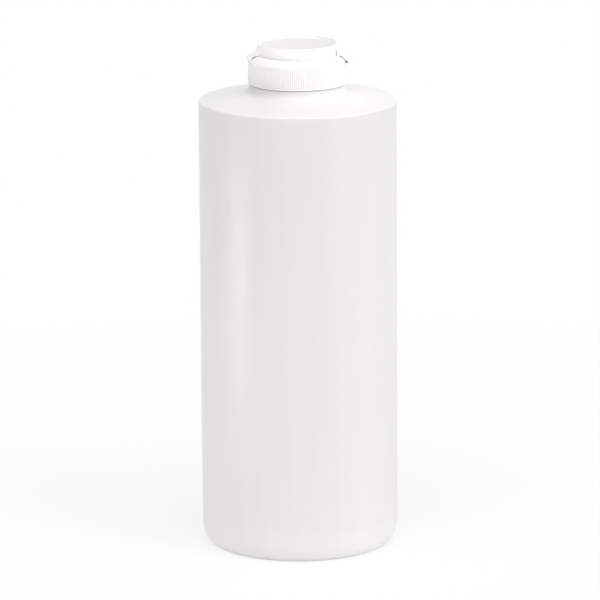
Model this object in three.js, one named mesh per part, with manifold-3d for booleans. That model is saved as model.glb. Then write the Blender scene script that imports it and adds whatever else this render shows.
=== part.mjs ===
// Squeeze bottle: a blown cylinder bottle with a threaded neck, a ribbed screw cap
// and a flip-top lid on a living hinge. Millimetres, +Z up, origin at the middle of
// the plane it stands on. The hinge is at +X and the thumb tab at -X.

import * as THREE from "three";
import { mergeVertices } from "three/addons/utils/BufferGeometryUtils.js";
import Module from "manifold-3d";

const wasm = await Module();
wasm.setup();

// Bottle
const bodyRadius = 39.5;
const bodyWall = 1.0;
const shoulderHeight = 180.3; // where the straight side ends and the shoulder's edge begins
const shoulderEdgeRadius = 0.8;
const shoulderInnerRadius = 0.4; // of the same edge, inside
const shoulderSlope = THREE.MathUtils.degToRad(10);
const heelHeight = 9.5; // the heel is a quarter ellipse, taller than it is deep
const heelInset = 4.4;
const footWidth = 4.0; // flat ring that the bottle stands on
const pushUp = 3.6; // hollow under the base
const baseWall = 1.4;

// Neck finish
const neckRadius = 17.4; // at the root of the thread
const neckWall = 1.9;
const boreFillet = 7.9; // where the bore opens into the shoulder
const collarRadius = 19.3; // the neck's foot, just below the cap
const collarFillet = 2.8; // where the shoulder sweeps up to it
const collarLand = 0.77; // height of its straight side
const finishHeight = 8.85; // from the collar's top to the rim
const rimChamfer = 0.3;
const threadPitch = 4.233;
const threadDepth = 1.1;
const threadFoot = 2.4; // width of the thread at its root
const threadCrest = 1.0;
const threadStart = 1.2; // rim to the upper flank
const threadTurns = 1.25;
const threadRunOut = 0.16; // turns over which each end of a thread fades
const threadSunk = 0.2; // share of its depth by which an end lies below the root
const threadFacets = 28; // around one turn

// Seal under the cap
const sealThickness = 0.8;
const sealOverlap = 0.4; // how far the seal reaches past the rim, inside and outside
const seatGap = 0.1;

// Cap base
const capClearance = 0.25; // between the bottle's thread and the skirt's bore
const capWall = 0.65; // at the root of the ribs
const ribDepth = 0.3;
const ribCount = 140;
const skirtDepth = 9.6; // underside of the deck to the skirt's lower edge
const skirtBand = 0.9; // smooth band below the ribs
const bandInset = 0.08; // how far the band lies behind the ribs' crests
const skirtChamfer = 0.3;
const deckCorner = 0.6; // bevel where the skirt's bore meets the deck
const deckThickness = 2.0;
const capShoulderDrop = 2.9; // rounded shoulder between the deck and the ribs
const capThreadFoot = 1.7;
const capThreadCrest = 0.8;
const capThreadGap = 0.35; // between its crest and the neck
const capThreadTurns = 1.0;
const capThreadLead = 0.35; // turns by which it starts above the bottle's thread
const orificeRadius = 4.0;
const nozzleWall = 1.2;
const nozzleGap = 0.5; // nozzle to the lid's ceiling
const snapRingHeight = 0.9;
const snapRingWall = 0.85;
const snapRingGap = 0.35;

// Flip lid
const lidGap = 0.3; // between the lid's lower edge and the deck
const lidRadius = 16.3; // at the lower edge
const lidTaper = 0.4; // how much smaller the rim is
const lidHeight = 4.2;
const lidWall = 1.2;
const lidRimWidth = 0.45;
const lidRimRound = 0.12;
const lidPlate = 1.2; // thickness under the dished top
const dishDepth = 0.8;
const dishFillet = 0.5;
const dishSag = 0.2; // how much lower the middle of the dish is
const plugClearance = 0.4;
const plugDepth = 1.7; // how far the plug enters the nozzle
const tabWidth = 12.4;
const tabOverhang = 0.5; // beyond the ribs
const tabThickness = 1.2; // at the tip
const tabRise = 3.4; // where the tab leaves the wall, above the lid's lower edge
const hingeWidth = 12.0;
const hingeOverhang = 0.7; // fold line beyond the ribs
const hingeRise = 0.4; // fold line above the ribs
const hingeClearance = 0.3; // from the fold line to either solid
const strapThickness = 0.6;
const strapRise = 2.1; // where the sloped strap leaves the wall, above the lid's lower edge

const facets = 48; // around each turned piece
const embed = 0.4; // how deep an added piece is sunk into what carries it
const weldGap = 1e-5; // points closer than this are one

// Worked out: the shoulder's slope runs from its edge to the collar's fillet
const edgeR = bodyRadius - shoulderEdgeRadius * (1 - Math.sin(shoulderSlope));
const edgeZ = shoulderHeight + shoulderEdgeRadius * Math.cos(shoulderSlope);
const collarTouchR = collarRadius + collarFillet * (1 - Math.sin(shoulderSlope));
const collarFilletZ = shoulderZ(collarTouchR) + collarFillet * Math.cos(shoulderSlope);
const collarTop = collarFilletZ + collarLand;
const neckTop = collarTop + finishHeight;
const neckBore = neckRadius - neckWall;
const threadRadius = neckRadius + threadDepth;
const skirtBore = threadRadius + capClearance;
const ribRoot = skirtBore + capWall;
const capRadius = ribRoot + ribDepth;
const deckUnder = neckTop + sealThickness + 2 * seatGap;
const deckTop = deckUnder + deckThickness;
const skirtBottom = deckUnder - skirtDepth;
const ribTop = deckTop - capShoulderDrop;
const ribBottom = skirtBottom + skirtBand;
const lidBase = deckTop + lidGap;
const lidTop = lidBase + lidHeight;
const lidCeiling = lidTop - dishDepth - lidPlate;
const lidBore = lidRadius - lidWall;
const nozzleTop = lidCeiling - nozzleGap;
const hingeX = capRadius + hingeOverhang;
const hingeZ = ribTop + hingeRise;

// The strap's upper face runs straight from the lid's wall down to the fold line
const strapFootZ = hingeZ + hingeClearance;
const strapTopX = lidRadius - lidTaper * (strapRise / lidHeight);
const strapLean = (hingeX - strapTopX) / (lidBase + strapRise - strapFootZ);

// Height of the shoulder's slope at a distance from the axis
function shoulderZ(r) {
  return edgeZ + (edgeR - r) * Math.tan(shoulderSlope);
}

// Distance from the axis at which the strap's slope, moved inwards, passes a height
function strapX(z, inwards) {
  return hingeX - (z - strapFootZ) * strapLean - inwards * Math.hypot(1, strapLean);
}

// Outlines are lists of [radius, height], walked with the material on the left

function arc(r, z, semiR, semiZ, from, to, steps) {
  const points = [];
  for (let i = 0; i <= steps; i++) {
    const a = THREE.MathUtils.degToRad(from + ((to - from) * i) / steps);
    points.push([r + semiR * Math.cos(a), z + semiZ * Math.sin(a)]);
  }
  return points;
}

function toSolid(geometry) {
  const plain = geometry.clone();
  plain.deleteAttribute("normal");
  plain.deleteAttribute("uv");
  const merged = mergeVertices(plain, weldGap);
  const index = merged.index.array;
  const triVerts = [];
  for (let i = 0; i < index.length; i += 3) {
    const [a, b, c] = [index[i], index[i + 1], index[i + 2]];
    if (a !== b && b !== c && c !== a) triVerts.push(a, b, c);
  }
  return new wasm.Manifold(
    new wasm.Mesh({
      numProp: 3,
      vertProperties: new Float32Array(merged.attributes.position.array),
      triVerts: new Uint32Array(triVerts),
    }),
  );
}

function turned(outline, closed = true) {
  const points = outline.map(([r, z]) => new THREE.Vector2(r, z));
  if (closed) points.push(points[0].clone());
  return toSolid(new THREE.LatheGeometry(points, facets).rotateX(Math.PI / 2));
}

function core(radius, low, high) {
  return turned([[0, low], [radius, low], [radius, high], [0, high]], false);
}

// A slab with the given outline in X and Z, centred on Y = 0
function slab(outline, width) {
  const shape = new THREE.Shape(outline.map(([x, z]) => new THREE.Vector2(x, z)));
  const geometry = new THREE.ExtrudeGeometry(shape, { depth: width, bevelEnabled: false });
  return toSolid(geometry.rotateX(Math.PI / 2).translate(0, width / 2, 0));
}

// A right-handed thread: a straight strip with the section's outline, wound round Z.
// Its ends fade until the crest is sunk in the wall that carries it.
function thread(section, root, top, turns, startTurn) {
  const shape = new THREE.Shape(section.map(([r, z]) => new THREE.Vector2(r, z)));
  const steps = Math.ceil(turns * threadFacets);
  const geometry = new THREE.ExtrudeGeometry(shape, { depth: turns, steps, bevelEnabled: false });
  const position = geometry.attributes.position;
  for (let i = 0; i < position.count; i++) {
    const turn = position.getZ(i);
    const fade = Math.min(1, turn / threadRunOut, (turns - turn) / threadRunOut);
    const r = root + (position.getX(i) - root) * fade;
    const proud = (position.getX(i) - root) * Math.sign(section[2][0] - root) > 0;
    const radius = proud ? r - (1 - fade) * threadSunk * (section[2][0] - root) : position.getX(i);
    const angle = -(startTurn + turn) * 2 * Math.PI;
    const z = top + position.getY(i) - (startTurn + turn) * threadPitch;
    position.setXYZ(i, radius * Math.cos(angle), radius * Math.sin(angle), z);
  }
  return toSolid(geometry);
}

function threadSection(root, crest, foot, top) {
  const under = root - Math.sign(crest - root) * embed;
  return [
    [under, -foot / 2],
    [root, -foot / 2],
    [crest, -top / 2],
    [crest, top / 2],
    [root, foot / 2],
    [under, foot / 2],
  ];
}

// Bottle: one blown shell, open at the neck

function pushUpCurve(radius, height, floor) {
  const points = [];
  const steps = 5;
  for (let i = 0; i < steps; i++) {
    const share = i / steps;
    points.push([radius * share, floor + height * (1 - share * share)]);
  }
  return points;
}

function bottleBody() {
  const slopeDeg = THREE.MathUtils.radToDeg(shoulderSlope);
  const edgeCentre = bodyRadius - shoulderEdgeRadius;
  const innerCentre = bodyRadius - bodyWall - shoulderInnerRadius;
  const innerEdgeZ = shoulderHeight + shoulderEdgeRadius - bodyWall - shoulderInnerRadius;
  const footOuter = bodyRadius - heelInset;
  const footInner = footOuter - footWidth;

  // Inside, the bore's fillet touches a slope that lies one neck wall deeper
  const boreCentre = neckBore + boreFillet;
  const boreTouchR = boreCentre - boreFillet * Math.sin(shoulderSlope);
  const boreDrop = neckWall / Math.cos(shoulderSlope);
  const boreFilletZ = shoulderZ(boreTouchR) - boreDrop + boreFillet * Math.cos(shoulderSlope);

  const shell = turned([
    ...pushUpCurve(footInner, pushUp, 0),
    [footInner, 0],
    ...arc(footOuter, heelHeight, heelInset, heelHeight, -90, 0, 7),
    ...arc(edgeCentre, shoulderHeight, shoulderEdgeRadius, shoulderEdgeRadius, 0, 90 - slopeDeg, 4),
    ...arc(collarRadius + collarFillet, collarFilletZ, collarFillet, collarFillet, 270 - slopeDeg, 180, 5),
    [collarRadius, collarTop],
    [neckRadius, collarTop],
    [neckRadius, neckTop - rimChamfer],
    [neckRadius - rimChamfer, neckTop],
    [neckBore + rimChamfer, neckTop],
    [neckBore, neckTop - rimChamfer],
    ...arc(boreCentre, boreFilletZ, boreFillet, boreFillet, 180, 270 - slopeDeg, 6),
    ...arc(innerCentre, innerEdgeZ, shoulderInnerRadius, shoulderInnerRadius, 90 - slopeDeg, 0, 2),
    ...arc(footOuter, heelHeight + baseWall, heelInset - bodyWall, heelHeight, 0, -90, 6),
    [footInner, baseWall],
    ...pushUpCurve(footInner, pushUp, baseWall).reverse(),
  ], false);

  const top = neckTop - threadStart - threadFoot / 2;
  const section = threadSection(neckRadius, threadRadius, threadFoot, threadCrest);
  return shell.add(thread(section, neckRadius, top, threadTurns, 0));
}

// Seal: a flat washer between the neck's rim and the cap's deck

function neckSeal() {
  const inner = neckBore - sealOverlap;
  const outer = neckRadius + sealOverlap;
  const low = neckTop + seatGap;
  const high = low + sealThickness;
  return turned([[inner, low], [outer, low], [outer, high], [inner, high]]);
}

// Cap base: ribbed skirt, rounded shoulder, deck with nozzle and snap ring

function capShoulder(clearance, from, to, steps) {
  const semiR = capRadius - lidRadius + clearance;
  const semiZ = capShoulderDrop + clearance;
  return arc(lidRadius, ribTop, semiR, semiZ, from, to, steps);
}

function ribs() {
  const shape = new THREE.Shape();
  for (let i = 0; i < ribCount; i++) {
    for (const [half, radius] of [[0, ribRoot], [0.5, capRadius]]) {
      const a = ((i + half) * 2 * Math.PI) / ribCount;
      const point = [radius * Math.cos(a), radius * Math.sin(a)];
      if (i === 0 && half === 0) shape.moveTo(...point);
      else shape.lineTo(...point);
    }
  }
  shape.holes.push(new THREE.Path().absarc(0, 0, ribRoot - embed, 0, 2 * Math.PI, true));
  const depth = ribTop - ribBottom + embed;
  const options = { depth, bevelEnabled: false, curveSegments: facets };
  return toSolid(new THREE.ExtrudeGeometry(shape, options).translate(0, 0, ribBottom - embed));
}

function capBase() {
  const bandRadius = capRadius - bandInset;
  const ringOuter = lidBore - snapRingGap;
  const nozzleRadius = orificeRadius + nozzleWall;
  const shell = turned([
    [skirtBore + skirtChamfer, skirtBottom],
    [bandRadius - skirtChamfer, skirtBottom],
    [bandRadius, skirtBottom + skirtChamfer],
    [bandRadius, ribBottom],
    [ribRoot, ribBottom],
    [ribRoot, ribTop],
    ...capShoulder(0, 0, 90, 6),
    [ringOuter, deckTop],
    [ringOuter, deckTop + snapRingHeight],
    [ringOuter - snapRingWall, deckTop + snapRingHeight],
    [ringOuter - snapRingWall, deckTop],
    [nozzleRadius, deckTop],
    [nozzleRadius, nozzleTop],
    [orificeRadius, nozzleTop],
    [orificeRadius, deckUnder],
    [skirtBore - deckCorner, deckUnder],
    [skirtBore, deckUnder - deckCorner],
    [skirtBore, skirtBottom + skirtChamfer],
  ]);

  // The cap's thread lies half a pitch below the bottle's
  const top = neckTop - threadStart - threadFoot / 2 - threadPitch / 2;
  const crest = neckRadius + capThreadGap;
  const section = threadSection(skirtBore, crest, capThreadFoot, capThreadCrest);
  const innerThread = thread(section, skirtBore, top, capThreadTurns, -capThreadLead);

  // Ledge that carries the fold, and the notch that the lid's strap lies in
  const wall = skirtBore + embed;
  const ledgeTop = hingeZ - hingeClearance;
  const ledgeLow = ledgeTop - hingeOverhang;
  const ledge = slab([
    [0, ledgeLow - hingeOverhang],
    [capRadius, ledgeLow - hingeOverhang],
    [hingeX - hingeClearance / 2, ledgeLow],
    [hingeX - hingeClearance / 2, ledgeTop],
    [0, ledgeTop],
  ], hingeWidth).subtract(core(wall, skirtBottom, deckTop));
  const under = strapThickness + hingeClearance;
  const notch = slab([
    [strapX(ledgeTop, under), ledgeTop],
    [2 * hingeX, ledgeTop],
    [2 * hingeX, lidTop],
    [strapX(lidTop, under), lidTop],
  ], hingeWidth + 2 * hingeClearance);
  return shell.add(ribs()).subtract(notch).add(innerThread).add(ledge);
}

// Flip lid: dished top, tapered wall, plug, thumb tab and hinge strap

function thumbTab() {
  const reach = capRadius + tabOverhang;
  const tipLow = hingeZ + hingeClearance;
  const tipHigh = tipLow + tabThickness;
  const wallRadius = lidRadius - lidTaper * (tabRise / lidHeight);
  const lip = new THREE.QuadraticBezierCurve(
    new THREE.Vector2(reach, tipHigh),
    new THREE.Vector2(lidRadius, tipHigh + tabThickness),
    new THREE.Vector2(wallRadius, lidBase + tabRise),
  );
  const lipPoints = lip.getPoints(6).map((p) => [p.x, p.y]);
  const ring = turned([
    [lidBore + embed, lidBase],
    ...capShoulder(lidGap, 90, 20, 5),
    [reach, tipLow],
    ...lipPoints,
    [lidBore + embed, lidBase + tabRise],
  ]);
  const corners = [[-2 * reach, ribTop], [0, ribTop], [0, lidTop], [-2 * reach, lidTop]];
  return ring.intersect(slab(corners, tabWidth));
}

function hingeStrap() {
  const outline = [
    [0, lidBase],
    [strapX(lidBase, strapThickness), lidBase],
    [strapX(strapFootZ, strapThickness), strapFootZ],
    [hingeX, strapFootZ],
    [strapTopX, lidBase + strapRise],
    [0, lidBase + strapRise],
  ];
  return slab(outline, hingeWidth).subtract(core(lidBore + embed, skirtBottom, lidTop));
}

function flipLid() {
  const rimRadius = lidRadius - lidTaper;
  const dishRadius = rimRadius - lidRimWidth;
  const floor = lidTop - dishDepth;
  const plugRadius = orificeRadius - plugClearance;
  const plugTip = nozzleTop - plugDepth;
  const plugChamfer = plugClearance;
  const cup = turned([
    [0, plugTip],
    [plugRadius - plugChamfer, plugTip],
    [plugRadius, plugTip + plugChamfer],
    [plugRadius, lidCeiling],
    [lidBore, lidCeiling],
    [lidBore, lidBase],
    [lidRadius, lidBase],
    ...arc(rimRadius - lidRimRound, lidTop - lidRimRound, lidRimRound, lidRimRound, 0, 90, 3),
    [dishRadius, lidTop],
    ...arc(dishRadius - dishFillet, floor + dishFillet, dishFillet, dishFillet, 0, -90, 3),
    [0, floor - dishSag],
  ], false);
  return cup.add(thumbTab()).add(hingeStrap());
}

// Materials and the assembly

const milkyPlastic = { color: 0xe8e5e3, roughness: 0.42, metalness: 0 };
const whitePlastic = { color: 0xf4f3f1, roughness: 0.35, metalness: 0 };
const sealFoam = { color: 0xf0efec, roughness: 0.85, metalness: 0 };

function piece(name, solid, finish) {
  const mesh = solid.getMesh();
  const geometry = new THREE.BufferGeometry();
  geometry.setAttribute("position", new THREE.BufferAttribute(new Float32Array(mesh.vertProperties), 3));
  geometry.setIndex(new THREE.BufferAttribute(new Uint32Array(mesh.triVerts), 1));
  geometry.computeVertexNormals();
  const result = new THREE.Mesh(geometry, new THREE.MeshStandardMaterial(finish));
  result.name = name;
  return result;
}

const bottle = new THREE.Group();
bottle.add(piece("bottle_body", bottleBody(), milkyPlastic));
bottle.add(piece("neck_seal", neckSeal(), sealFoam));
bottle.add(piece("cap_base", capBase(), whitePlastic));
bottle.add(piece("flip_lid", flipLid(), whitePlastic));

export default bottle;
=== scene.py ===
import math
import bpy
from mathutils import Matrix, Vector


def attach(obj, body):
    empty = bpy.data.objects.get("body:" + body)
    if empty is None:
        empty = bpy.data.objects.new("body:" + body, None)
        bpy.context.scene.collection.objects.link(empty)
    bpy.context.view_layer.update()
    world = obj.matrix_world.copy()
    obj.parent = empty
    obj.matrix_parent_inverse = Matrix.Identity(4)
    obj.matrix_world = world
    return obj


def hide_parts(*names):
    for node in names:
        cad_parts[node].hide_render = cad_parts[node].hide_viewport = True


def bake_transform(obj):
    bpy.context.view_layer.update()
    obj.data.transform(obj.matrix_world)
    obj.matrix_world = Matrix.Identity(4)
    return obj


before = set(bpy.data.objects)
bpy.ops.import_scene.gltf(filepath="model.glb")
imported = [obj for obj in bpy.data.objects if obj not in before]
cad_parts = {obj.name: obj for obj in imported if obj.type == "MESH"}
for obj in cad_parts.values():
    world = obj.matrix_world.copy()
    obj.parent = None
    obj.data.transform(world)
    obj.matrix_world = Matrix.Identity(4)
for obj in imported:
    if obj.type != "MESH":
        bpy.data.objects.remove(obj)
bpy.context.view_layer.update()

mm = 0.001

# Squeeze bottle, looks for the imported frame. Sizes below are in millimetres.
# The hinge is at +X, the thumb tab at -X, and the photograph looks along +Y.


def addNode(tree, kind, inputs=None, **settings):
    node = tree.nodes.new(kind)
    for key, value in settings.items():
        setattr(node, key, value)
    for key, value in (inputs or {}).items():
        if isinstance(value, bpy.types.NodeSocket):
            tree.links.new(value, node.inputs[key])
        else:
            node.inputs[key].default_value = value
    return node


def mathNode(tree, operation, *values):
    return addNode(tree, "ShaderNodeMath", dict(enumerate(values)), operation=operation).outputs[0]


def wholeNode(tree, operation, *values):
    node = addNode(tree, "FunctionNodeIntegerMath", dict(enumerate(values)), operation=operation)
    return node.outputs[0]


# The part of a place that lies across the Z axis
def acrossAxis(tree, place):
    values = {0: place, 1: (1, 1, 0)}
    return addNode(tree, "ShaderNodeVectorMath", values, operation="MULTIPLY").outputs[0]


def newTree(name, sockets):
    tree = bpy.data.node_groups.new(name, "GeometryNodeTree")
    tree.interface.new_socket("Geometry", in_out="INPUT", socket_type="NodeSocketGeometry")
    for label, kind in sockets:
        tree.interface.new_socket(label, in_out="INPUT", socket_type="NodeSocket" + kind)
    tree.interface.new_socket("Geometry", in_out="OUTPUT", socket_type="NodeSocketGeometry")
    return tree, addNode(tree, "NodeGroupInput").outputs


def endTree(tree, geometry, finish):
    realized = addNode(tree, "GeometryNodeRealizeInstances", {"Geometry": geometry})
    smooth = addNode(tree, "GeometryNodeSetShadeSmooth", {"Geometry": realized.outputs[0]})
    painted = addNode(tree, "GeometryNodeSetMaterial",
                      {"Geometry": smooth.outputs[0], "Material": finish})
    addNode(tree, "NodeGroupOutput", {"Geometry": painted.outputs[0]})


def newPiece(name, points, faces=(), edges=()):
    mesh = bpy.data.meshes.new(name)
    mesh.from_pydata([tuple(c * mm for c in p) for p in points], edges, faces)
    mesh.update()
    piece = bpy.data.objects.new(name, mesh)
    bpy.context.scene.collection.objects.link(piece)
    return piece


# Runs a tree on a piece and leaves a plain mesh
def bakeTree(piece, tree, values):
    modifier = piece.modifiers.new(tree.name, "NODES")
    modifier.node_group = tree
    for item in tree.interface.items_tree:
        if item.item_type == "SOCKET" and item.in_out == "INPUT" and item.name in values:
            modifier[item.identifier] = values[item.name]
    return bakeModifiers(piece)


def bakeModifiers(piece):
    bpy.context.view_layer.update()
    evaluated = piece.evaluated_get(bpy.context.evaluated_depsgraph_get())
    mesh = bpy.data.meshes.new_from_object(evaluated)
    old = piece.data
    piece.modifiers.clear()
    piece.data = mesh
    mesh.name = piece.name
    bpy.data.meshes.remove(old)
    return piece


def softEdges(piece, sharpFrom=38):
    piece.data.shade_smooth()
    piece.data.set_sharp_from_angle(angle=math.radians(sharpFrom))


def faceOutwards(piece):
    mesh = piece.data
    mesh.calc_loop_triangles()
    corners = [v.co for v in mesh.vertices]
    volume = sum(corners[a].dot(corners[b].cross(corners[c]))
                 for a, b, c in (t.vertices for t in mesh.loop_triangles))
    if volume < 0:
        mesh.flip_normals()


def arcPoints(r, z, semiR, semiZ, start, end, steps):
    angles = [math.radians(start + (end - start) * i / steps) for i in range(steps + 1)]
    return [(r + semiR * math.cos(a), z + semiZ * math.sin(a)) for a in angles]


# The points between two ends, without the ends
def straight(start, end, steps):
    (r, z), (lastR, lastZ) = start, end
    return [(r + (lastR - r) * i / steps, z + (lastZ - z) * i / steps) for i in range(1, steps)]


# Faces that join rows of n points each and close the first and the last row
def rowFaces(rows, n):
    faces = []
    for j in range(rows - 1):
        a, b = j * n, (j + 1) * n
        faces += [(a + i, a + (i + 1) % n, b + (i + 1) % n, b + i) for i in range(n)]
    last = (rows - 1) * n
    return faces + [tuple(reversed(range(n))), tuple(range(last, last + n))]


milkyLook = {
    "thick": (0.79, 0.768, 0.759),  # the darker tone, in patches, above the heel and towards the top
    "thin": (0.89, 0.878, 0.876),
    "denseAndLit": (0.915, 0.905, 0.90),  # shoulder and neck, paler: denser plastic, and painted light on the top of the bottle
    "denseAndLitFrom": (180.6, 181.0),  # mm
    "heel": (6, 15),  # mm, paler below this height: the thinner heel wall, and painted light near the floor
    "darkening": (20, 170),  # mm, and darker towards the top from here up to here
    "heelShare": 0.4, "darkeningShare": 0.25, "patchShare": 0.12,  # how far each moves thin to thick
    "patchSize": 34, "streakSize": 7,  # mm
    "heelWander": 8,  # mm, how far the patches move the heel's edge
    "roughness": (0.30, 0.38), "glossPatch": 5,  # mm
    "ior": 1.54, "shine": 0.35,
    "through": 0.1,  # share of light that goes straight through the wall
    "scatter": 0.25, "scatterDepth": 2.0,  # mm
    "scatterTint": (1, 0.95, 0.9),
    "absorb": 150,  # per metre
    "absorbTint": (0.93, 0.91, 0.91, 1),
    "grain": 0.012, "grainSize": 0.9,  # mm
    "ripple": 0.05, "rippleSize": 26,  # mm, the slow waves of a blown wall
    "partingLine": 0.05, "partingEdge": (0.05, 0.35),  # mm, the line of the mould's two halves
}


def shaderTree(name):
    material = bpy.data.materials.new(name)
    material.use_nodes = True
    tree = material.node_tree
    tree.nodes.clear()
    output = addNode(tree, "ShaderNodeOutputMaterial")
    place = addNode(tree, "ShaderNodeTexCoord").outputs["Object"]
    return material, tree, output, place


def noise(tree, place, size, detail=2.0, rough=0.5, stretch=(1, 1, 1)):
    scaled = addNode(tree, "ShaderNodeMapping", {"Vector": place, "Scale": stretch})
    return addNode(tree, "ShaderNodeTexNoise", {
        "Vector": scaled.outputs[0], "Scale": 1 / (size * mm), "Detail": detail, "Roughness": rough,
    }).outputs["Fac"]


def remap(tree, value, low, high, start=0.3, end=0.7):
    return addNode(tree, "ShaderNodeMapRange", {
        "Value": value, "From Min": start, "From Max": end, "To Min": low, "To Max": high,
    }).outputs[0]


def bump(tree, height, distance, under=None):
    inputs = {"Height": height, "Distance": distance * mm, "Strength": 1.0}
    if under is not None:
        inputs["Normal"] = under
    return addNode(tree, "ShaderNodeBump", inputs).outputs[0]


def mixColours(tree, factor, first, second):
    node = addNode(tree, "ShaderNodeMix", {0: factor}, data_type="RGBA")
    for index, value in ((6, first), (7, second)):
        if isinstance(value, bpy.types.NodeSocket):
            tree.links.new(value, node.inputs[index])
        else:
            node.inputs[index].default_value = (*value, 1)
    return node.outputs[2]


def makeMilkyPlastic():
    look = milkyLook
    material, tree, output, place = shaderTree("milkyPlastic")
    patches = noise(tree, place, look["patchSize"], 3, 0.55, (1, 1, 0.45))
    streaks = noise(tree, place, look["streakSize"], 2, 0.5, (1, 1, 0.08))
    axes = addNode(tree, "ShaderNodeSeparateXYZ", {0: place}).outputs
    # Paler below the heel: the thinner wall there, and painted light near the floor
    wander = look["heelWander"]
    uneven = mathNode(tree, "ADD", axes["Z"], mathNode(tree, "MULTIPLY", patches, wander * mm))
    heelEdge = [(h + wander / 2) * mm for h in look["heel"]]
    heel = remap(tree, uneven, 0.0, look["heelShare"], *heelEdge)
    # Darker towards the top
    darkening = remap(tree, axes["Z"], 0.0, look["darkeningShare"], *[h * mm for h in look["darkening"]])
    share = look["patchShare"]
    cover = remap(tree, mathNode(tree, "ADD", patches, streaks), -share, share, 0.7, 1.3)
    cover = mathNode(tree, "ADD", mathNode(tree, "ADD", heel, darkening), cover)
    colour = mixColours(tree, cover, look["thin"], look["thick"])
    # Paler shoulder and neck: denser plastic there, and painted light where the top of the bottle
    # faces the lamps
    denseAndLit = remap(tree, axes["Z"], 0, 1, *[h * mm for h in look["denseAndLitFrom"]])
    colour = mixColours(tree, denseAndLit, colour, look["denseAndLit"])
    rough = remap(tree, noise(tree, place, look["glossPatch"], 3, 0.6), *look["roughness"])

    ripples = noise(tree, place, look["rippleSize"], 1, 0.4, (1, 1, 0.5))
    normal = bump(tree, ripples, look["ripple"])
    normal = bump(tree, noise(tree, place, look["grainSize"], 3, 0.6), look["grain"], normal)
    # The mould's two halves meet in the plane Y = 0
    away = mathNode(tree, "ABSOLUTE", axes["Y"])
    ridge = remap(tree, away, 1, 0, *[y * mm for y in look["partingEdge"]])
    normal = bump(tree, ridge, look["partingLine"], normal)

    shader = addNode(tree, "ShaderNodeBsdfPrincipled", {
        "Base Color": colour, "Roughness": rough, "Normal": normal, "IOR": look["ior"],
        "Specular IOR Level": look["shine"], "Transmission Weight": look["through"],
        "Subsurface Weight": look["scatter"], "Subsurface Scale": look["scatterDepth"] * mm,
        "Subsurface Radius": look["scatterTint"],
    })
    haze = addNode(tree, "ShaderNodeVolumeAbsorption", {
        "Color": look["absorbTint"], "Density": look["absorb"]})
    tree.links.new(shader.outputs[0], output.inputs["Surface"])
    tree.links.new(haze.outputs[0], output.inputs["Volume"])
    return material


capLook = {
    "white": (0.96, 0.953, 0.947),
    "shade": (0.935, 0.926, 0.92),
    "cloudSize": 9,  # mm
    "dish": (0.79, 0.782, 0.778),  # painted shade on the floor of the lid's dish, a recess
    "dishRadius": (14.9, 15.2), "dishFrom": (202.5, 202.6), "dishTo": (203.25, 203.45),  # mm
    "dishDull": 0.2,  # how much rougher the dish is
    "roughness": (0.28, 0.38), "scuffSize": 2.2,  # mm
    "ior": 1.5, "shine": 0.4,
    "swell": 0.02, "swellSize": 14,  # mm
    "grain": 0.006, "grainSize": 0.35,  # mm
    "scatter": 0.12, "scatterDepth": 0.8,  # mm
    "scatterTint": (1, 0.95, 0.9),
}


def makeCapPlastic():
    look = capLook
    material, tree, output, place = shaderTree("capPlastic")
    clouds = noise(tree, place, look["cloudSize"], 3, 0.6)
    colour = mixColours(tree, remap(tree, clouds, 0, 1), look["white"], look["shade"])
    height = addNode(tree, "ShaderNodeSeparateXYZ", {0: place}).outputs["Z"]
    flat = acrossAxis(tree, place)
    out = addNode(tree, "ShaderNodeVectorMath", {0: flat}, operation="LENGTH").outputs["Value"]
    # The dish's floor takes a greyer colour: painted shade in the recess
    within = remap(tree, out, 1, 0, *[r * mm for r in look["dishRadius"]])
    above = remap(tree, height, 0, 1, *[z * mm for z in look["dishFrom"]])
    below = remap(tree, height, 1, 0, *[z * mm for z in look["dishTo"]])
    dish = mathNode(tree, "MULTIPLY", within, mathNode(tree, "MULTIPLY", above, below))
    colour = mixColours(tree, dish, colour, look["dish"])
    scuffs = noise(tree, place, look["scuffSize"], 4, 0.7, (1, 1, 0.3))
    rough = remap(tree, scuffs, *look["roughness"])
    rough = mathNode(tree, "ADD", rough, mathNode(tree, "MULTIPLY", dish, look["dishDull"]))
    normal = bump(tree, noise(tree, place, look["swellSize"], 1, 0.4), look["swell"])
    normal = bump(tree, noise(tree, place, look["grainSize"], 2, 0.6), look["grain"], normal)
    shader = addNode(tree, "ShaderNodeBsdfPrincipled", {
        "Base Color": colour, "Roughness": rough, "Normal": normal, "IOR": look["ior"],
        "Specular IOR Level": look["shine"], "Subsurface Weight": look["scatter"],
        "Subsurface Scale": look["scatterDepth"] * mm, "Subsurface Radius": look["scatterTint"],
    })
    tree.links.new(shader.outputs[0], output.inputs["Surface"])
    return material


foamLook = {
    # pore: painted shade in the middle of each pore
    "pale": (0.88, 0.875, 0.86), "pore": (0.74, 0.73, 0.71),
    "poreSize": 0.45, "poreDepth": 0.05,  # mm
    "poreEdge": 0.45, "dullEdge": 0.6,  # as shares of a pore
    "roughness": (0.9, 0.75), "shine": 0.25,
}


def makeSealFoam():
    look = foamLook
    material, tree, output, place = shaderTree("sealFoam")
    pores = addNode(tree, "ShaderNodeTexVoronoi", {
        "Vector": place, "Scale": 1 / (look["poreSize"] * mm)}).outputs["Distance"]
    # Darker towards each pore's middle: painted shade in the dents
    middle = remap(tree, pores, 1, 0, 0.0, look["poreEdge"])
    rough = remap(tree, pores, *look["roughness"], 0, look["dullEdge"])
    shader = addNode(tree, "ShaderNodeBsdfPrincipled", {
        "Base Color": mixColours(tree, middle, look["pale"], look["pore"]), "Roughness": rough,
        "Normal": bump(tree, pores, look["poreDepth"]), "Specular IOR Level": look["shine"],
    })
    tree.links.new(shader.outputs[0], output.inputs["Surface"])
    return material


milkyPlastic = makeMilkyPlastic()
capPlastic = makeCapPlastic()
sealFoam = makeSealFoam()
print("materials: milky plastic, cap plastic, seal foam")


waveFade = 25  # mm over which the waves of a wall set in


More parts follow.
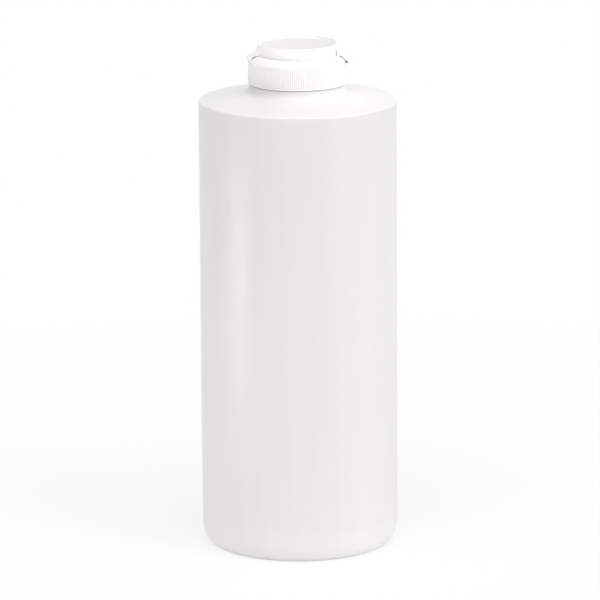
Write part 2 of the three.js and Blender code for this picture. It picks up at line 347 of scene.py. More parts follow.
# Turns an outline in the XZ plane, given as a row of points, round the Z axis
def makeTurningTree():
    tree, given = newTree("turnOutline", [
        ("Segments", "Int"), ("Wave Height", "Float"), ("Wave Size", "Float"),
        ("Wave From", "Float"), ("Wave To", "Float"), ("Finish", "Material")])
    sizes = addNode(tree, "GeometryNodeAttributeDomainSize", {0: given["Geometry"]})
    count = sizes.outputs["Point Count"]
    columns = wholeNode(tree, "ADD", given["Segments"], 1)
    grid = addNode(tree, "GeometryNodeMeshGrid", {"Vertices X": columns, "Vertices Y": count})
    index = addNode(tree, "GeometryNodeInputIndex").outputs[0]
    along = wholeNode(tree, "MODULO", index, count)
    column = wholeNode(tree, "DIVIDE_FLOOR", index, count)
    angle = mathNode(tree, "MULTIPLY", column, 2 * math.pi)
    angle = mathNode(tree, "DIVIDE", angle, given["Segments"])
    place = addNode(tree, "GeometryNodeInputPosition").outputs[0]
    outline = addNode(tree, "GeometryNodeSampleIndex", {
        "Geometry": given["Geometry"], "Index": along}, data_type="FLOAT_VECTOR")
    tree.links.new(place, outline.inputs["Value"])
    swung = addNode(tree, "ShaderNodeVectorRotate", {
        "Vector": outline.outputs[0], "Axis": (0, 0, 1), "Angle": angle},
        rotation_type="AXIS_ANGLE")
    turned = addNode(tree, "GeometryNodeSetPosition", {
        "Geometry": grid.outputs[0], "Position": swung.outputs[0]})
    # Slow waves move the outer and the inner wall together
    wave = addNode(tree, "ShaderNodeTexNoise", {
        "Vector": place, "Scale": mathNode(tree, "DIVIDE", 1.0, given["Wave Size"]),
        "Detail": 1.0}).outputs["Fac"]
    height = addNode(tree, "ShaderNodeSeparateXYZ", {0: place}).outputs["Z"]

    def fadeFrom(start, operation):
        return addNode(tree, "ShaderNodeMapRange", {
            "Value": height, "From Min": start,
            "From Max": mathNode(tree, operation, start, waveFade * mm)},
            interpolation_type="SMOOTHSTEP").outputs[0]

    fade = mathNode(tree, "MULTIPLY", fadeFrom(given["Wave From"], "ADD"),
                    fadeFrom(given["Wave To"], "SUBTRACT"))
    amount = mathNode(tree, "MULTIPLY", mathNode(tree, "SUBTRACT", wave, 0.5), given["Wave Height"])
    amount = mathNode(tree, "MULTIPLY", amount, fade)
    outward = addNode(tree, "ShaderNodeVectorMath", {
        0: acrossAxis(tree, place)}, operation="NORMALIZE").outputs[0]
    shift = addNode(tree, "ShaderNodeVectorMath", {
        0: outward, "Scale": amount}, operation="SCALE").outputs[0]
    waved = addNode(tree, "GeometryNodeSetPosition", {
        "Geometry": turned.outputs[0], "Offset": shift})
    closed = addNode(tree, "GeometryNodeMergeByDistance", {
        "Geometry": waved.outputs[0], "Distance": 0.0005 * mm})
    endTree(tree, closed.outputs[0], given["Finish"])
    return tree


# Winds a trapezium round a helix that comes down from the top, with both ends run out
def makeThreadTree():
    tree, given = newTree("windThread", [
        ("Radius", "Float"), ("Pitch", "Float"), ("Turns", "Float"), ("Top", "Float"),
        ("Start Turn", "Float"), ("Depth", "Float"), ("Foot", "Float"), ("Crest", "Float"),
        ("Sunk", "Float"), ("Round", "Float"), ("Run Out", "Float"), ("Inwards", "Float"),
        ("Finish", "Material")])
    turns = given["Turns"]
    drop = mathNode(tree, "MULTIPLY", mathNode(tree, "MULTIPLY", given["Pitch"], turns), -1.0)
    helix = addNode(tree, "GeometryNodeCurveSpiral", {
        "Resolution": 72, "Rotations": turns, "Start Radius": given["Radius"],
        "End Radius": given["Radius"], "Height": drop})
    along = addNode(tree, "GeometryNodeSplineParameter").outputs["Factor"]
    wound = mathNode(tree, "MULTIPLY", along, turns)
    end = mathNode(tree, "MINIMUM", wound, mathNode(tree, "SUBTRACT", turns, wound))
    fade = mathNode(tree, "SQRT", mathNode(tree, "DIVIDE", end, given["Run Out"]))
    fade = mathNode(tree, "MAXIMUM", mathNode(tree, "MINIMUM", fade, 1.0), 0.02)
    sized = addNode(tree, "GeometryNodeSetCurveRadius", {
        "Curve": helix.outputs[0], "Radius": fade})
    level = addNode(tree, "GeometryNodeSetCurveNormal", {"Curve": sized.outputs[0]}, mode="Z_UP")
    section = addNode(tree, "GeometryNodeCurvePrimitiveQuadrilateral", {
        "Height": mathNode(tree, "ADD", given["Depth"], given["Sunk"]),
        "Bottom Width": given["Foot"], "Top Width": given["Crest"], "Offset": 0.0},
        mode="TRAPEZOID")
    rounded = addNode(tree, "GeometryNodeFilletCurve", {
        "Curve": section.outputs[0], "Count": 3, "Radius": given["Round"],
        "Limit Radius": True}, mode="POLY")
    shift = mathNode(tree, "SUBTRACT", given["Sunk"], given["Depth"])
    shift = mathNode(tree, "MULTIPLY", mathNode(tree, "MULTIPLY", shift, 0.5), given["Inwards"])
    turn = mathNode(tree, "MULTIPLY", given["Inwards"], math.pi / 2)
    seated = addNode(tree, "GeometryNodeTransform", {
        "Geometry": rounded.outputs[0],
        "Translation": addNode(tree, "ShaderNodeCombineXYZ", {"X": shift}).outputs[0],
        "Rotation": addNode(tree, "ShaderNodeCombineXYZ", {"Z": turn}).outputs[0]})
    swept = addNode(tree, "GeometryNodeCurveToMesh", {
        "Curve": level.outputs[0], "Profile Curve": seated.outputs[0], "Fill Caps": True,
        "Scale": addNode(tree, "GeometryNodeInputRadius").outputs[0]})
    spin = mathNode(tree, "MULTIPLY", given["Start Turn"], -2 * math.pi)
    rise = mathNode(tree, "SUBTRACT", given["Top"],
                    mathNode(tree, "MULTIPLY", given["Start Turn"], given["Pitch"]))
    placed = addNode(tree, "GeometryNodeTransform", {
        "Geometry": swept.outputs[0],
        "Translation": addNode(tree, "ShaderNodeCombineXYZ", {"Z": rise}).outputs[0],
        "Rotation": addNode(tree, "ShaderNodeCombineXYZ", {"Z": spin}).outputs[0]})
    endTree(tree, placed.outputs[0], given["Finish"])
    return tree


# Sets copies of one shape round the Z axis
def makeRingTree():
    tree, given = newTree("ringOfCopies", [
        ("Count", "Int"), ("Radius", "Float"), ("Finish", "Material")])
    circle = addNode(tree, "GeometryNodeMeshCircle", {
        "Vertices": given["Count"], "Radius": given["Radius"]})
    index = addNode(tree, "GeometryNodeInputIndex").outputs[0]
    angle = mathNode(tree, "MULTIPLY", index, 2 * math.pi)
    angle = mathNode(tree, "DIVIDE", angle, given["Count"])
    turn = addNode(tree, "ShaderNodeCombineXYZ", {"Z": angle}).outputs[0]
    spread = addNode(tree, "GeometryNodeInstanceOnPoints", {
        "Points": circle.outputs[0], "Instance": given["Geometry"], "Rotation": turn})
    endTree(tree, spread.outputs[0], given["Finish"])
    return tree


turnOutline = makeTurningTree()
windThread = makeThreadTree()
ringOfCopies = makeRingTree()


def turnedPiece(name, outline, finish, segments=192, wave=(0.0, 30.0, 0.0, 1.0)):
    rows = [(r, 0, z) for r, z in outline]
    piece = newPiece(name, rows, edges=[(i, i + 1) for i in range(len(rows) - 1)])
    bakeTree(piece, turnOutline, {
        "Segments": segments, "Wave Height": wave[0] * mm, "Wave Size": wave[1] * mm,
        "Wave From": wave[2] * mm, "Wave To": wave[3] * mm, "Finish": finish})
    faceOutwards(piece)
    softEdges(piece)
    return piece


def threadPiece(name, finish, radius, values):
    piece = newPiece(name, [(0, 0, 0)])
    plain = ("Turns", "Start Turn", "Run Out", "Inwards")
    sizes = {key: value if key in plain else value * mm for key, value in values.items()}
    bakeTree(piece, windThread, {**sizes, "Radius": radius * mm, "Finish": finish})
    faceOutwards(piece)
    softEdges(piece, 50)
    return piece


bottleSize = {
    "radius": 39.5, "wall": 1.0, "slope": 10,
    "edgeHeight": 180.3, "edgeRadius": 0.8, "edgeInner": 0.4,
    "heelHeight": 9.5, "heelInset": 4.4, "footWidth": 4.0, "footRound": 0.7, "footRise": 0.25,
    "pushUp": 3.6, "baseWall": 1.4,
    "neckRadius": 17.4, "neckWall": 1.9, "neckTop": 196.5, "boreFillet": 7.9, "rimRound": 0.35,
    "collarRadius": 19.3, "collarFillet": 2.8, "collarTop": 187.65, "collarRound": 0.25,
    "crisp": 0.4,  # rows this close to the shoulder's edge keep it sharp
    "waveHeight": 0.22, "waveSize": 42, "waveFrom": 3, "waveTo": 178,  # how uneven the wall is
    "segments": 256,
}
neckThreadSize = {
    "Pitch": 4.233, "Turns": 1.25, "Top": 194.1, "Start Turn": 0,
    "Depth": 1.1, "Foot": 2.6, "Crest": 1.0, "Sunk": 0.3, "Round": 0.25,
    "Run Out": 0.16, "Inwards": 1,
}


def pushUpCurve(radius, height, floor, steps):
    return [(radius * i / steps, floor + height * (1 - (i / steps) ** 2)) for i in range(steps)]


def bottleOutline():
    s = bottleSize
    slope = math.radians(s["slope"])
    edgeCentre = s["radius"] - s["edgeRadius"]
    edgeR = edgeCentre + s["edgeRadius"] * math.sin(slope)
    edgeZ = s["edgeHeight"] + s["edgeRadius"] * math.cos(slope)
    footOuter = s["radius"] - s["heelInset"]
    footInner = footOuter - s["footWidth"]
    bore = s["neckRadius"] - s["neckWall"]
    rim, collar, fillet = s["rimRound"], s["collarRound"], s["collarFillet"]
    heel, inset = s["heelHeight"], s["heelInset"]

    def slopeZ(r):
        return edgeZ + (edgeR - r) * math.tan(slope)

    filletR = s["collarRadius"] + fillet
    touchR = filletR - fillet * math.sin(slope)
    filletZ = slopeZ(touchR) + fillet * math.cos(slope)
    boreR = bore + s["boreFillet"]
    boreTouch = boreR - s["boreFillet"] * math.sin(slope)
    boreZ = slopeZ(boreTouch) - s["neckWall"] / math.cos(slope) + s["boreFillet"] * math.cos(slope)
    innerR = s["radius"] - s["wall"] - s["edgeInner"]
    innerZ = s["edgeHeight"] + s["edgeRadius"] - s["wall"] - s["edgeInner"]
    outer = [
        *pushUpCurve(footInner, s["pushUp"], 0, 22),
        *arcPoints(footInner + s["footRound"], s["footRise"], s["footRound"], s["footRise"],
                   180, 270, 4),
        *arcPoints(footOuter, heel, inset, heel, -90, 0, 20),
        *straight((s["radius"], heel), (s["radius"], s["edgeHeight"]), 44),
        (s["radius"], s["edgeHeight"] - s["crisp"]),
        *arcPoints(edgeCentre, s["edgeHeight"], s["edgeRadius"], s["edgeRadius"],
                   0, 90 - s["slope"], 8),
        (edgeR - s["crisp"], slopeZ(edgeR - s["crisp"])),
        *straight((edgeR, edgeZ), (touchR, slopeZ(touchR)), 8),
        *arcPoints(filletR, filletZ, fillet, fillet, 270 - s["slope"], 180, 10),
        *arcPoints(s["collarRadius"] - collar, s["collarTop"] - collar, collar, collar, 0, 90, 4),
        *arcPoints(s["neckRadius"] + collar, s["collarTop"] + collar, collar, collar, 270, 180, 4),
        *arcPoints(s["neckRadius"] - rim, s["neckTop"] - rim, rim, rim, 0, 90, 4),
    ]
    inner = [
        *arcPoints(bore + rim, s["neckTop"] - rim, rim, rim, 90, 180, 4),
        *arcPoints(boreR, boreZ, s["boreFillet"], s["boreFillet"], 180, 270 - s["slope"], 14),
        *arcPoints(innerR, innerZ, s["edgeInner"], s["edgeInner"], 90 - s["slope"], 0, 5),
        *straight((s["radius"] - s["wall"], innerZ),
                  (s["radius"] - s["wall"], heel + s["baseWall"]), 44),
        *arcPoints(footOuter, heel + s["baseWall"], inset - s["wall"], heel, 0, -90, 16),
        (footInner, s["baseWall"]),
        *reversed(pushUpCurve(footInner, s["pushUp"], s["baseWall"], 22)),
    ]
    return outer + inner


bottleShell = turnedPiece(
    "bottle_shell", bottleOutline(), milkyPlastic, bottleSize["segments"],
    [bottleSize[key] for key in ("waveHeight", "waveSize", "waveFrom", "waveTo")])
neckThread = threadPiece("neck_thread", milkyPlastic, bottleSize["neckRadius"], neckThreadSize)


pinchSize = {"length": 46, "width": 0.9, "height": 0.5, "sunk": 0.3, "steps": 40}


# Bar of pinched-off plastic across the pushed-up base
def makePinchSeam():
    s, b = pinchSize, bottleSize
    reach = b["radius"] - b["heelInset"] - b["footWidth"]
    points = []
    for i in range(s["steps"] + 1):
        t = i / s["steps"]
        x = s["length"] * (t - 0.5)
        base = b["pushUp"] * (1 - (x / reach) ** 2)
        tall = s["height"] * min(1, 8 * t, 8 * (1 - t))
        half = s["width"] / 2
        high, low = base + s["sunk"], base - tall
        points += [(x, -half, high), (x, -half / 2, low), (x, half / 2, low), (x, half, high)]
    piece = newPiece("pinch_seam", points, rowFaces(s["steps"] + 1, 4))
    piece.data.materials.append(milkyPlastic)
    faceOutwards(piece)
    softEdges(piece, 60)
    return piece


pinchSeam = makePinchSeam()
for part in (bottleShell, neckThread, pinchSeam):
    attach(part, "bottle")
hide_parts("bottle_body")
print("bottle: shell, neck thread, pinch seam")


sealSize = {"inner": 15.1, "outer": 17.8, "low": 196.6, "thickness": 0.8, "round": 0.15}


def makeNeckSeal():
    s = sealSize
    high, r = s["low"] + s["thickness"], s["round"]
    outline = [
        *arcPoints(s["inner"] + r, s["low"] + r, r, r, 180, 270, 4),
        *arcPoints(s["outer"] - r, s["low"] + r, r, r, 270, 360, 4),
        *arcPoints(s["outer"] - r, high - r, r, r, 0, 90, 4),
        *arcPoints(s["inner"] + r, high - r, r, r, 90, 180, 4),
    ]
    return turnedPiece("foam_seal", outline + outline[:1], sealFoam, 128)


foamSeal = makeNeckSeal()
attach(foamSeal, "seal")
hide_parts("neck_seal")
print("seal: washer")


capSize = {
    "bore": 18.75, "ribRoot": 19.4, "radius": 19.7, "bandInset": 0.08,
    "bottom": 187.9, "ribBottom": 188.8, "ribTop": 196.6, "deckUnder": 197.5, "deckTop": 199.5,
    "edgeRound": 0.25, "bandRound": 0.15, "boreChamfer": 0.6,
    "shoulderIn": 16.3, "eaveInset": 0.05, "eaveRise": 0.02,
    "crisp": 0.1,  # a row this close under the ribs' top keeps the edge there sharp
    "orifice": 4.0, "nozzleWall": 1.2, "nozzleTop": 201.5, "nozzleRound": 0.3, "nozzleFoot": 0.4,
    "ringOuter": 14.75, "ringWall": 0.85, "ringHeight": 0.9, "ringRound": 0.25, "beadRound": 0.3,
    "hingeX": 20.4, "hingeZ": 197.0, "hingeGap": 0.3, "hingeWidth": 12.0,
    "notchGap": 0.12, "notchTop": 206,
}
ribSize = {
    "count": 140, "width": 0.8, "sunk": 0.3, "lap": 0.05, "steps": 6,
    "footRound": 0.2, "footShare": 0.75, "topRound": 0.35, "topShare": 0.9,
}
capThreadSize = {
    "Pitch": neckThreadSize["Pitch"], "Turns": 1.0, "Start Turn": -0.35,
    "Top": neckThreadSize["Top"] - neckThreadSize["Pitch"] / 2,
    "Depth": 1.0, "Foot": 1.9, "Crest": 0.8, "Sunk": 0.3, "Round": 0.2,
    "Run Out": 0.16, "Inwards": -1,
}
ledgeSize = {"drop": 0.7, "skirtDrop": 0.3, "backDrop": 0.6, "sunk": 0.2, "round": 0.12}


def capOutline():
    s = capSize
    band = s["radius"] - s["bandInset"]
    nozzle = s["orifice"] + s["nozzleWall"]
    ringInner = s["ringOuter"] - s["ringWall"]
    ringTop = s["deckTop"] + s["ringHeight"]
    edge, corner, bend = s["edgeRound"], s["bandRound"], s["ringRound"]
    foot, lip, chamfer = s["nozzleFoot"], s["nozzleRound"], s["boreChamfer"]
    return [
        *arcPoints(band - edge, s["bottom"] + edge, edge, edge, 270, 360, 5),
        *arcPoints(band - corner, s["ribBottom"] - corner, corner, corner, 0, 90, 3),
        (s["ribRoot"], s["ribBottom"]),
        *straight((s["ribRoot"], s["ribBottom"]), (s["ribRoot"], s["ribTop"]), 4),
        (s["ribRoot"], s["ribTop"] - s["crisp"]),
        (s["radius"] - s["eaveInset"], s["ribTop"] + s["eaveRise"]),
        *arcPoints(s["shoulderIn"], s["ribTop"], s["radius"] - s["shoulderIn"],
                   s["deckTop"] - s["ribTop"], 3, 90, 20),
        *arcPoints(s["ringOuter"] + bend, s["deckTop"] + bend, bend, bend, 270, 180, 4),
        *arcPoints(s["ringOuter"] - bend, ringTop - bend, s["beadRound"], bend, 0, 90, 5),
        *arcPoints(ringInner + bend, ringTop - bend, bend, bend, 90, 180, 5),
        *arcPoints(ringInner - bend, s["deckTop"] + bend, bend, bend, 360, 270, 4),
        *arcPoints(nozzle + foot, s["deckTop"] + foot, foot, foot, 270, 180, 5),
        *arcPoints(nozzle - lip, s["nozzleTop"] - lip, lip, lip, 0, 90, 6),
        *arcPoints(s["orifice"] + lip, s["nozzleTop"] - lip, lip, lip, 90, 180, 6),
        (s["orifice"], s["deckUnder"]),
        (s["bore"] - chamfer, s["deckUnder"]),
        (s["bore"], s["deckUnder"] - chamfer),
        *arcPoints(s["bore"] + edge, s["bottom"] + edge, edge, edge, 180, 270, 5),
    ]


# One rib: a half-round bar with a rounded top and foot, its back sunk in the skirt
def ribShape():
    s, c = ribSize, capSize
    proud = c["radius"] - c["ribRoot"]
    levels = (
        (c["ribBottom"] - s["lap"], s["footShare"]), (c["ribBottom"] + s["footRound"], 1.0),
        (c["ribTop"] - s["topRound"], 1.0), (c["ribTop"] + s["lap"], s["topShare"]),
    )
    points = []
    for z, share in levels:
        points.append((-s["sunk"], -s["width"] / 2, z))
        for i in range(s["steps"] + 1):
            a = math.pi * (i / s["steps"] - 0.5)
            points.append((proud * share * math.cos(a), s["width"] / 2 * math.sin(a), z))
        points.append((-s["sunk"], s["width"] / 2, z))
    return points, rowFaces(len(levels), s["steps"] + 3)


# Rounds the edges of a piece that turn by more than an angle in degrees
def roundEdges(piece, width, fromAngle):
    bevel = piece.modifiers.new("rounded", "BEVEL")
    bevel.width = width * mm
    bevel.segments = 3
    bevel.limit_method = "ANGLE"
    bevel.angle_limit = math.radians(fromAngle)
    bakeModifiers(piece)
    softEdges(piece, 40)


def blockPiece(name, outline, width, finish, rounding):
    half = width / 2
    n = len(outline)
    points = [(x, -half, z) for x, z in outline] + [(x, half, z) for x, z in outline]
    faces = [tuple(range(n)), tuple(reversed(range(n, 2 * n)))]
    faces += [((i + 1) % n, i, n + i, n + (i + 1) % n) for i in range(n)]
    piece = newPiece(name, points, faces)
    piece.data.materials.append(finish)
    faceOutwards(piece)
    if rounding:
        roundEdges(piece, rounding, 32)
    return piece


def cutWith(piece, cutter):
    boolean = piece.modifiers.new("cut", "BOOLEAN")
    boolean.operation = "DIFFERENCE"
    boolean.solver = "EXACT"
    boolean.object = cutter
    bakeModifiers(piece)
    mesh = cutter.data
    bpy.data.objects.remove(cutter)
    bpy.data.meshes.remove(mesh)
    softEdges(piece)


# The strap leaves the lid's wall where it does on the solid lid
strapSize = {
    "thickness": 0.6, "rise": 2.1, "sunk": 0.8, "round": 0.1,
    "lidRadius": 16.3, "lidTaper": 0.4, "lidHeight": 4.2, "lidBase": 199.8,
}
strapFoot = capSize["hingeZ"] + capSize["hingeGap"]
strapTaper = strapSize["lidTaper"] * strapSize["rise"] / strapSize["lidHeight"]
strapTopX = strapSize["lidRadius"] - strapTaper
strapTopZ = strapSize["lidBase"] + strapSize["rise"]
strapLean = (capSize["hingeX"] - strapTopX) / (strapTopZ - strapFoot)


def strapX(z, inwards):
    return capSize["hingeX"] - (z - strapFoot) * strapLean - inwards * math.hypot(1, strapLean)


def makeCapBase():
    s = capSize
    outline = capOutline()
    shell = turnedPiece("cap_shell", outline + outline[:1], capPlastic, 224)
    ledgeTop = s["hingeZ"] - s["hingeGap"]
    under, top = strapSize["thickness"] + s["notchGap"], s["notchTop"]
    notch = blockPiece("notch", [
        (strapX(ledgeTop, under), ledgeTop), (2 * s["hingeX"], ledgeTop),
        (2 * s["hingeX"], top), (strapX(top, under), top)],
        s["hingeWidth"] + 2 * s["notchGap"], capPlastic, 0)
    cutWith(shell, notch)

    points, faces = ribShape()
    ribs = newPiece("cap_ribs", points, faces)
    bakeTree(ribs, ringOfCopies, {
        "Count": ribSize["count"], "Radius": s["ribRoot"] * mm, "Finish": capPlastic})
    faceOutwards(ribs)
    softEdges(ribs, 50)

    thread = threadPiece("cap_thread", capPlastic, s["bore"], capThreadSize)

    ledgeOut = s["hingeX"] - s["hingeGap"] / 2
    ledgeBack = s["bore"] + ledgeSize["sunk"]
    drop = ledgeSize["drop"]
    ledge = blockPiece("hinge_ledge", [
        (ledgeBack, ledgeTop - 2 * drop - ledgeSize["backDrop"]),
        (s["ribRoot"], ledgeTop - 2 * drop - ledgeSize["skirtDrop"]),
        (ledgeOut, ledgeTop - drop), (ledgeOut, ledgeTop), (ledgeBack, ledgeTop)],
        s["hingeWidth"], capPlastic, ledgeSize["round"])
    return shell, ribs, thread, ledge


capShell, capRibs, capThread, hingeLedge = makeCapBase()
for part in (capShell, capRibs, capThread, hingeLedge):
    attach(part, "cap")
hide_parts("cap_base")
print("cap base: shell, ribs, thread, hinge ledge")


lidSize = {
    "radius": 16.3, "taper": 0.4, "wall": 1.2,
    "base": 199.56, "top": 204.0, "ceiling": 202.0,
    "rimWidth": 0.45, "rimRound": 0.15, "lipRound": 0.15, "ceilingRound": 0.5,
    "dishDepth": 0.8, "dishFillet": 0.5, "dishEdge": 0.1, "dishSag": 0.45, "dishSteps": 14,
    "plugRadius": 3.6, "plugTip": 199.8, "plugRound": 0.5, "plugFoot": 0.4,
}
tabSize = {
    "width": 12.4, "reach": 20.2, "tipLow": 197.3, "thickness": 1.2, "rise": 3.4, "round": 0.3,
    "sunk": 0.4, "gap": 0.1,  # into the lid's wall, and above the cap's shoulder
    "lipSteps": 12, "columns": 40,
}


def lidOutline():
    s = lidSize
    rim = s["radius"] - s["taper"]
    dish = rim - s["rimWidth"]
    floor = s["top"] - s["dishDepth"]
    bore = s["radius"] - s["wall"]
    fillet, edge, steps = s["dishFillet"], s["dishEdge"], s["dishSteps"]
    plug, foot = s["plugRound"], s["plugFoot"]
    corner, lip, crown = s["ceilingRound"], s["lipRound"], s["rimRound"]
    sag = [((dish - fillet) * (1 - i / steps),
            floor - s["dishSag"] * math.sin(math.pi / 2 * i / steps)) for i in range(1, steps + 1)]
    return [
        (0, s["plugTip"]),
        *arcPoints(s["plugRadius"] - plug, s["plugTip"] + plug, plug, plug, 270, 360, 6),
        *arcPoints(s["plugRadius"] + foot, s["ceiling"] - foot, foot, foot, 180, 90, 4),
        *arcPoints(bore - corner, s["ceiling"] - corner, corner, corner, 90, 0, 5),
        *arcPoints(bore + lip, s["base"] + lip, lip, lip, 180, 270, 3),
        *arcPoints(s["radius"] - lip, s["base"] + lip, lip, lip, 270, 360, 3),
        *arcPoints(rim - crown, s["top"] - crown, crown, crown, 10, 90, 8),
        *arcPoints(dish + edge, s["top"] - edge, edge, edge, 90, 180, 4),
        *arcPoints(dish - fillet, floor + fillet, fillet, fillet, 0, -90, 8),
        *sag,
    ]


# The tab is a strip of a ring, so every row of points follows its own radius
def makeThumbTab():
    s, l, c = tabSize, lidSize, capSize
    tipHigh = s["tipLow"] + s["thickness"]
    wallR = l["radius"] - l["taper"] * s["rise"] / (l["top"] - l["base"])
    tip = Vector((s["reach"], tipHigh))
    pull = Vector((l["radius"], tipHigh + s["thickness"]))
    root = Vector((wallR, l["base"] + s["rise"]))
    lip = []
    for i in range(s["lipSteps"] + 1):
        t = i / s["lipSteps"]
        lip.append(tuple((1 - t) ** 2 * tip + 2 * t * (1 - t) * pull + t * t * root))
    inner = l["radius"] - l["wall"] + s["sunk"]
    under = arcPoints(l["radius"], c["ribTop"], c["radius"] - l["radius"] + s["gap"],
                      c["deckTop"] - c["ribTop"] + s["gap"], 90, 20, 12)
    outline = [(inner, l["base"]), *under, (s["reach"], s["tipLow"]), *lip,
               (inner, l["base"] + s["rise"])]
    points = []
    for k in range(s["columns"] + 1):
        y = s["width"] * (k / s["columns"] - 0.5)
        points += [(-math.sqrt(r * r - y * y), y, z) for r, z in outline]
    piece = newPiece("thumb_tab", points, rowFaces(s["columns"] + 1, len(outline)))
    piece.data.materials.append(capPlastic)
    faceOutwards(piece)
    roundEdges(piece, s["round"], 40)
    return piece


lidCup = turnedPiece("lid_cup", lidOutline(), capPlastic, 224)
thumbTab = makeThumbTab()
strapBack = lidSize["radius"] - strapSize["sunk"]
hingeStrap = blockPiece("hinge_strap", [
    (strapBack, lidSize["base"]),
    (strapX(lidSize["base"], strapSize["thickness"]), lidSize["base"]),
    (strapX(strapFoot, strapSize["thickness"]), strapFoot), (capSize["hingeX"], strapFoot),
    (strapTopX, strapTopZ), (strapBack, strapTopZ)],
    capSize["hingeWidth"], capPlastic, strapSize["round"])
for part in (lidCup, thumbTab, hingeStrap):
    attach(part, "lid")
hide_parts("flip_lid")
print("flip lid: cup, thumb tab, hinge strap")


# The thin web that joins the cap's base and the lid, thinnest in the middle
filmSize = {
    "thickness": 0.35, "thinning": 0.35, "inset": 0.05, "widthShare": 0.98,
    "low": 196.55, "high": 197.45, "steps": 12, "across": 12,
    "bend": 0.25,  # mm above and below the fold line
}


def makeHingeFilm():
    s = filmSize
    outer = capSize["hingeX"] - s["inset"]
    wide = capSize["hingeWidth"] * s["widthShare"]
    points, faces = [], []
    n = s["steps"] + 1
    for face in (0, 1):
        for j in range(n):
            z = s["low"] + (s["high"] - s["low"]) * j / s["steps"]
            thin = 1 - s["thinning"] * math.sin(math.pi * j / s["steps"])
            x = outer - face * s["thickness"] * thin
            points += [(x, wide * (k / s["across"] - 0.5), z) for k in range(s["across"] + 1)]
    w = s["across"] + 1
    for face in (0, 1):
        start = face * n * w
        for j in range(s["steps"]):
            for k in range(s["across"]):
                a = start + j * w + k
                quad = (a, a + 1, a + w + 1, a + w)
                faces.append(quad if face == 0 else tuple(reversed(quad)))
    back = n * w
    for j in range(s["steps"]):
        for k in (0, s["across"]):
            a = j * w + k
            quad = (a, a + w, a + w + back, a + back)
            faces.append(quad if k == 0 else tuple(reversed(quad)))
    for k in range(s["across"]):
        for j in (0, s["steps"]):
            a = j * w + k
            quad = (a, a + back, a + back + 1, a + 1)
            faces.append(quad if j == 0 else tuple(reversed(quad)))
    piece = newPiece("hinge_film", points, faces)
    piece.data.materials.append(capPlastic)
    faceOutwards(piece)
    softEdges(piece, 50)
    return piece


hingeFilm = makeHingeFilm()
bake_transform(hingeFilm)
print("hinge film")


stageLook = {
    "floor": (0.92, 0.92, 0.92), "fibre": (0.9108, 0.9108, 0.9108), "fibreSize": 3,  # mm
    "reach": 8.0,  # metres, like the two below
    "nearTo": 0.12, "farFrom": 0.4,
    "near": 0.75,  # how much of its whiteness is the paper's own glow up to nearTo
}


def whiteRays(tree):
    path = addNode(tree, "ShaderNodeLightPath").outputs
    seen = mathNode(tree, "MAXIMUM", path["Is Camera Ray"], path["Is Glossy Ray"])
    return mathNode(tree, "MAXIMUM", seen, path["Is Transmission Ray"])


def makeStage():
    s = stageLook
    r = s["reach"] / mm
    floor = newPiece("floor", [(-r, -r, 0), (r, -r, 0), (r, r, 0), (-r, r, 0)], [(0, 1, 2, 3)])
    material, tree, output, place = shaderTree("studioPaper")
    fibres = noise(tree, place, s["fibreSize"], 2, 0.5)
    colour = mixColours(tree, remap(tree, fibres, 0, 1), s["floor"], s["fibre"])
    paper = addNode(tree, "ShaderNodeBsdfDiffuse", {"Color": colour}).outputs[0]
    glow = addNode(tree, "ShaderNodeEmission", {"Color": (1, 1, 1, 1), "Strength": 1.0}).outputs[0]
    out = addNode(tree, "ShaderNodeVectorMath", {0: place}, operation="LENGTH").outputs["Value"]
    glowing = remap(tree, out, s["near"], 1.0, s["nearTo"], s["farFrom"])
    share = mathNode(tree, "MULTIPLY", whiteRays(tree), glowing)
    mixed = addNode(tree, "ShaderNodeMixShader", {0: share, 1: paper, 2: glow}).outputs[0]
    tree.links.new(mixed, output.inputs["Surface"])
    floor.data.materials.append(material)


lightLook = {
    "world": 0.50,
    "worldColour": (1.0, 0.985, 0.98),
    "worldSlope": (0.48, -0.30, 0.22),  # how much brighter the room is towards +X, +Y, +Z
    "aim": (0, 0, 0.1),
    "lamps": {
        "key": {"place": (1.55, -1.13, 0.75), "size": 1.1, "power": 11.2, "tint": (1, 1, 1)},
        "top": {"place": (-0.05, -0.42, 1.5), "size": 1.5, "power": 10.7, "tint": (1, 1, 1)},
        "card": {"place": (-0.32, -0.115, 0.02), "size": 0.16, "power": 0.32,
                 "tint": (1.0, 0.96, 0.93)},
    },
}


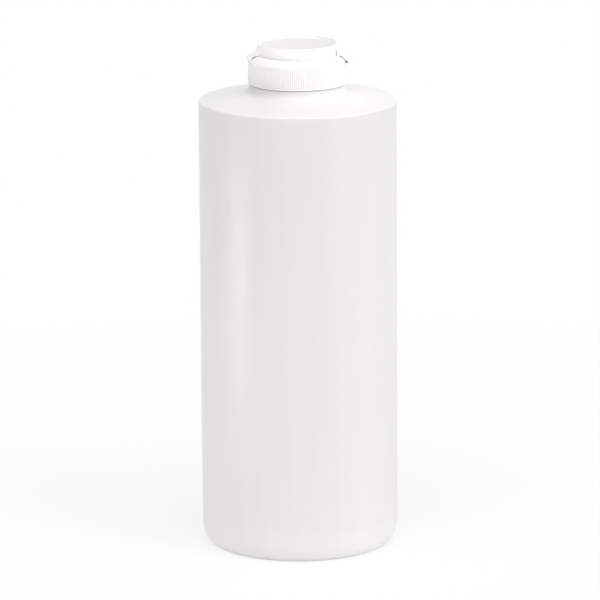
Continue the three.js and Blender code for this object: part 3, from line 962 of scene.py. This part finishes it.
def makeLight():
    look = lightLook
    world = bpy.data.worlds.new("studio")
    bpy.context.scene.world = world
    world.use_nodes = True
    tree = world.node_tree
    tree.nodes.clear()
    way = addNode(tree, "ShaderNodeTexCoord").outputs["Generated"]
    slope = addNode(tree, "ShaderNodeVectorMath", {
        0: way, 1: look["worldSlope"]}, operation="DOT_PRODUCT").outputs["Value"]
    level = mathNode(tree, "MULTIPLY", mathNode(tree, "ADD", slope, 1.0), look["world"])
    room = addNode(tree, "ShaderNodeBackground", {
        "Color": (*look["worldColour"], 1), "Strength": level}).outputs[0]
    white = addNode(tree, "ShaderNodeBackground", {
        "Color": (1, 1, 1, 1), "Strength": 1.0}).outputs[0]
    mixed = addNode(tree, "ShaderNodeMixShader", {0: whiteRays(tree), 1: room, 2: white}).outputs[0]
    addNode(tree, "ShaderNodeOutputWorld", {"Surface": mixed})
    aim = Vector(look["aim"])
    for name, lamp in look["lamps"].items():
        data = bpy.data.lights.new(name, "AREA")
        data.shape = "DISK"
        data.size = lamp["size"]
        data.energy = lamp["power"]
        data.color = lamp["tint"]
        thing = bpy.data.objects.new(name, data)
        thing.location = lamp["place"]
        thing.rotation_euler = (aim - thing.location).to_track_quat("-Z", "Y").to_euler()
        thing.visible_camera = False
        thing.visible_transmission = False
        bpy.context.scene.collection.objects.link(thing)


cameraLook = {
    "target": (0.46, 0, 98.91), "distance": 2000,  # mm
    "elevation": 13.26, "roll": -0.33,  # degrees
    "lens": 298.54, "sensor": 36,  # mm
}


def makeCamera():
    c = cameraLook
    e, roll = math.radians(c["elevation"]), math.radians(c["roll"])
    forward = Vector((0, math.cos(e), -math.sin(e)))
    right, up = Vector((1, 0, 0)), Vector((0, math.sin(e), math.cos(e)))
    rolledRight = right * math.cos(roll) + up * math.sin(roll)
    rolledUp = up * math.cos(roll) - right * math.sin(roll)
    data = bpy.data.cameras.new("camera")
    data.sensor_width = c["sensor"]
    data.lens = c["lens"]
    data.clip_start, data.clip_end = 0.05, 50
    camera = bpy.data.objects.new("camera", data)
    place = Vector(c["target"]) * mm - forward * c["distance"] * mm
    turn = Matrix((rolledRight, rolledUp, -forward)).transposed()
    camera.matrix_world = Matrix.Translation(place) @ turn.to_4x4()
    bpy.context.scene.collection.objects.link(camera)
    bpy.context.scene.camera = camera


makeStage()
makeLight()
makeCamera()
bpy.context.scene.view_settings.view_transform = "Standard"
print("stage, light and camera")
